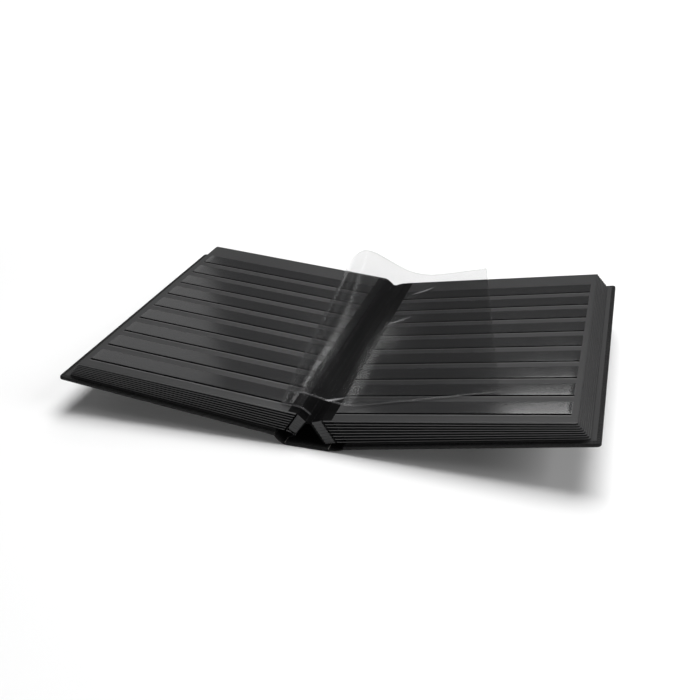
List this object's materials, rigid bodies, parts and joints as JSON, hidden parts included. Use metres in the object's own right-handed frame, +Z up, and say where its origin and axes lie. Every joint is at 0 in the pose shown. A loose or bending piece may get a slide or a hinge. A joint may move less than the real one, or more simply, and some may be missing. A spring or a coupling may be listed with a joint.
{
  "type": "stock book album",
  "caption": "Album with black card leaves, clear pocket strips and a clear interleaf, lying open, for stamps, coins in flat mounts and cards.",
  "frame": {"origin": "middle of the spine's underside", "axes": "X across the open spread, Y along the spine towards the head, Z up from the table"},
  "size_m": [0.4667, 0.3229, 0.0586],
  "materials": {
    "leatherette": "leatherette with a fine pebble grain, semi-matt",
    "grey_board": "dense grey binder's board",
    "lining": "black glued mull and paper",
    "stub_card": "black card stubs",
    "page_card": "matt black card with a grey cast",
    "linen": "fine black linen tape",
    "strip_film": "clear glossy polyester film",
    "interleaf_film": "clear glossy film, slightly creased"
  },
  "bodies": {
    "spine": {"spine_leatherette": "leatherette", "spine_board": "grey_board", "spine_lining": "lining", "front_joint_leatherette": "leatherette", "back_joint_leatherette": "leatherette", "binding_stubs": "stub_card", "interleaf_fold": "interleaf_film", "interleaf_flap": "interleaf_film"},
    "front_cover": {"front_leatherette": "leatherette", "front_board": "grey_board"},
    "back_cover": {"back_leatherette": "leatherette", "back_board": "grey_board"},
    "leaf_01": {"leaf_01_card": "page_card", "leaf_01_linen": "linen", "leaf_01_strips": "strip_film"},
    "leaf_02": {"leaf_02_card": "page_card", "leaf_02_linen": "linen", "leaf_02_strips": "strip_film"},
    "leaf_03": {"leaf_03_card": "page_card", "leaf_03_linen": "linen", "leaf_03_strips": "strip_film"},
    "leaf_04": {"leaf_04_card": "page_card", "leaf_04_linen": "linen", "leaf_04_strips": "strip_film"},
    "leaf_05": {"leaf_05_card": "page_card", "leaf_05_linen": "linen", "leaf_05_strips": "strip_film"},
    "leaf_06": {"leaf_06_card": "page_card", "leaf_06_linen": "linen", "leaf_06_strips": "strip_film"},
    "leaf_07": {"leaf_07_card": "page_card", "leaf_07_linen": "linen", "leaf_07_strips": "strip_film"},
    "leaf_08": {"leaf_08_card": "page_card", "leaf_08_linen": "linen", "leaf_08_strips": "strip_film"},
    "leaf_09": {"leaf_09_card": "page_card", "leaf_09_linen": "linen", "leaf_09_strips": "strip_film"},
    "leaf_10": {"leaf_10_card": "page_card", "leaf_10_linen": "linen", "leaf_10_strips": "strip_film"},
    "leaf_11": {"leaf_11_card": "page_card", "leaf_11_linen": "linen", "leaf_11_strips": "strip_film"},
    "leaf_12": {"leaf_12_card": "page_card", "leaf_12_linen": "linen", "leaf_12_strips": "strip_film"},
    "leaf_13": {"leaf_13_card": "page_card", "leaf_13_linen": "linen", "leaf_13_strips": "strip_film"},
    "leaf_14": {"leaf_14_card": "page_card", "leaf_14_linen": "linen", "leaf_14_strips": "strip_film"},
    "leaf_15": {"leaf_15_card": "page_card", "leaf_15_linen": "linen", "leaf_15_strips": "strip_film"},
    "leaf_16": {"leaf_16_card": "page_card", "leaf_16_linen": "linen", "leaf_16_strips": "strip_film"}
  },
  "joints": [
    {"name": "front_cover_hinge", "type": "hinge", "parent": "spine", "child": "front_cover", "pos_m": [-0.02428, 0, 0.00818], "axis": [0, 1, 0], "range_deg": [-7, 85.7], "deforming": ["front_joint_leatherette", "interleaf_fold"]},
    {"name": "back_cover_hinge", "type": "hinge", "parent": "spine", "child": "back_cover", "pos_m": [0.02854, 0, 0.00467], "axis": [0, -1, 0], "range_deg": [-10.5, 82.1], "deforming": ["back_joint_leatherette", "interleaf_flap"]},
    {"name": "leaf_01_joint", "type": "hinge", "parent": "spine", "child": "leaf_01", "pos_m": [-0.02001, 0, 0.01212], "axis": [0, 1, 0], "range_deg": [-7.2, 85.87]},
    {"name": "leaf_02_joint", "type": "hinge", "parent": "spine", "child": "leaf_02", "pos_m": [-0.01844, 0, 0.01456], "axis": [0, 1, 0], "range_deg": [-7.21, 86.03]},
    {"name": "leaf_03_joint", "type": "hinge", "parent": "spine", "child": "leaf_03", "pos_m": [-0.01686, 0, 0.01699], "axis": [0, 1, 0], "range_deg": [-7.22, 86.18]},
    {"name": "leaf_04_joint", "type": "hinge", "parent": "spine", "child": "leaf_04", "pos_m": [-0.01529, 0, 0.01943], "axis": [0, 1, 0], "range_deg": [-7.24, 86.35]},
    {"name": "leaf_05_joint", "type": "hinge", "parent": "spine", "child": "leaf_05", "pos_m": [-0.01371, 0, 0.02187], "axis": [0, 1, 0], "range_deg": [-7.25, 86.51]},
    {"name": "leaf_06_joint", "type": "hinge", "parent": "spine", "child": "leaf_06", "pos_m": [-0.01214, 0, 0.02431], "axis": [0, 1, 0], "range_deg": [-7.26, 86.66]},
    {"name": "leaf_07_joint", "type": "hinge", "parent": "spine", "child": "leaf_07", "pos_m": [-0.01056, 0, 0.02674], "axis": [0, 1, 0], "range_deg": [-7.28, 86.83]},
    {"name": "leaf_08_joint", "type": "hinge", "parent": "spine", "child": "leaf_08", "pos_m": [-0.00899, 0, 0.02918], "axis": [0, 1, 0], "range_deg": [-7.29, 86.99]},
    {"name": "leaf_09_joint", "type": "hinge", "parent": "spine", "child": "leaf_09", "pos_m": [0.01323, 0, 0.02588], "axis": [0, -1, 0], "range_deg": [-10.87, 83.66]},
    {"name": "leaf_10_joint", "type": "hinge", "parent": "spine", "child": "leaf_10", "pos_m": [0.01489, 0, 0.02324], "axis": [0, -1, 0], "range_deg": [-10.85, 83.47]},
    {"name": "leaf_11_joint", "type": "hinge", "parent": "spine", "child": "leaf_11", "pos_m": [0.01656, 0, 0.02061], "axis": [0, -1, 0], "range_deg": [-10.82, 83.27]},
    {"name": "leaf_12_joint", "type": "hinge", "parent": "spine", "child": "leaf_12", "pos_m": [0.01822, 0, 0.01797], "axis": [0, -1, 0], "range_deg": [-10.8, 83.07]},
    {"name": "leaf_13_joint", "type": "hinge", "parent": "spine", "child": "leaf_13", "pos_m": [0.01988, 0, 0.01533], "axis": [0, -1, 0], "range_deg": [-10.77, 82.87]},
    {"name": "leaf_14_joint", "type": "hinge", "parent": "spine", "child": "leaf_14", "pos_m": [0.02154, 0, 0.01269], "axis": [0, -1, 0], "range_deg": [-10.75, 82.68]},
    {"name": "leaf_15_joint", "type": "hinge", "parent": "spine", "child": "leaf_15", "pos_m": [0.02321, 0, 0.01006], "axis": [0, -1, 0], "range_deg": [-10.72, 82.48]},
    {"name": "leaf_16_joint", "type": "hinge", "parent": "spine", "child": "leaf_16", "pos_m": [0.02487, 0, 0.00742], "axis": [0, -1, 0], "range_deg": [-10.7, 82.28]}
  ],
  "couplings": [
    {"joint": "leaf_01_joint", "follows": "front_cover_hinge", "ratio": 0.9996},
    {"joint": "leaf_02_joint", "follows": "front_cover_hinge", "ratio": 1.0015},
    {"joint": "leaf_03_joint", "follows": "front_cover_hinge", "ratio": 1.0033},
    {"joint": "leaf_04_joint", "follows": "front_cover_hinge", "ratio": 1.0052},
    {"joint": "leaf_05_joint", "follows": "front_cover_hinge", "ratio": 1.0071},
    {"joint": "leaf_06_joint", "follows": "front_cover_hinge", "ratio": 1.0089},
    {"joint": "leaf_07_joint", "follows": "front_cover_hinge", "ratio": 1.0108},
    {"joint": "leaf_08_joint", "follows": "front_cover_hinge", "ratio": 1.0127},
    {"joint": "leaf_09_joint", "follows": "back_cover_hinge", "ratio": 1.0166},
    {"joint": "leaf_10_joint", "follows": "back_cover_hinge", "ratio": 1.0142},
    {"joint": "leaf_11_joint", "follows": "back_cover_hinge", "ratio": 1.0118},
    {"joint": "leaf_12_joint", "follows": "back_cover_hinge", "ratio": 1.0094},
    {"joint": "leaf_13_joint", "follows": "back_cover_hinge", "ratio": 1.007},
    {"joint": "leaf_14_joint", "follows": "back_cover_hinge", "ratio": 1.0046},
    {"joint": "leaf_15_joint", "follows": "back_cover_hinge", "ratio": 1.0022},
    {"joint": "leaf_16_joint", "follows": "back_cover_hinge", "ratio": 0.9998}
  ]
}
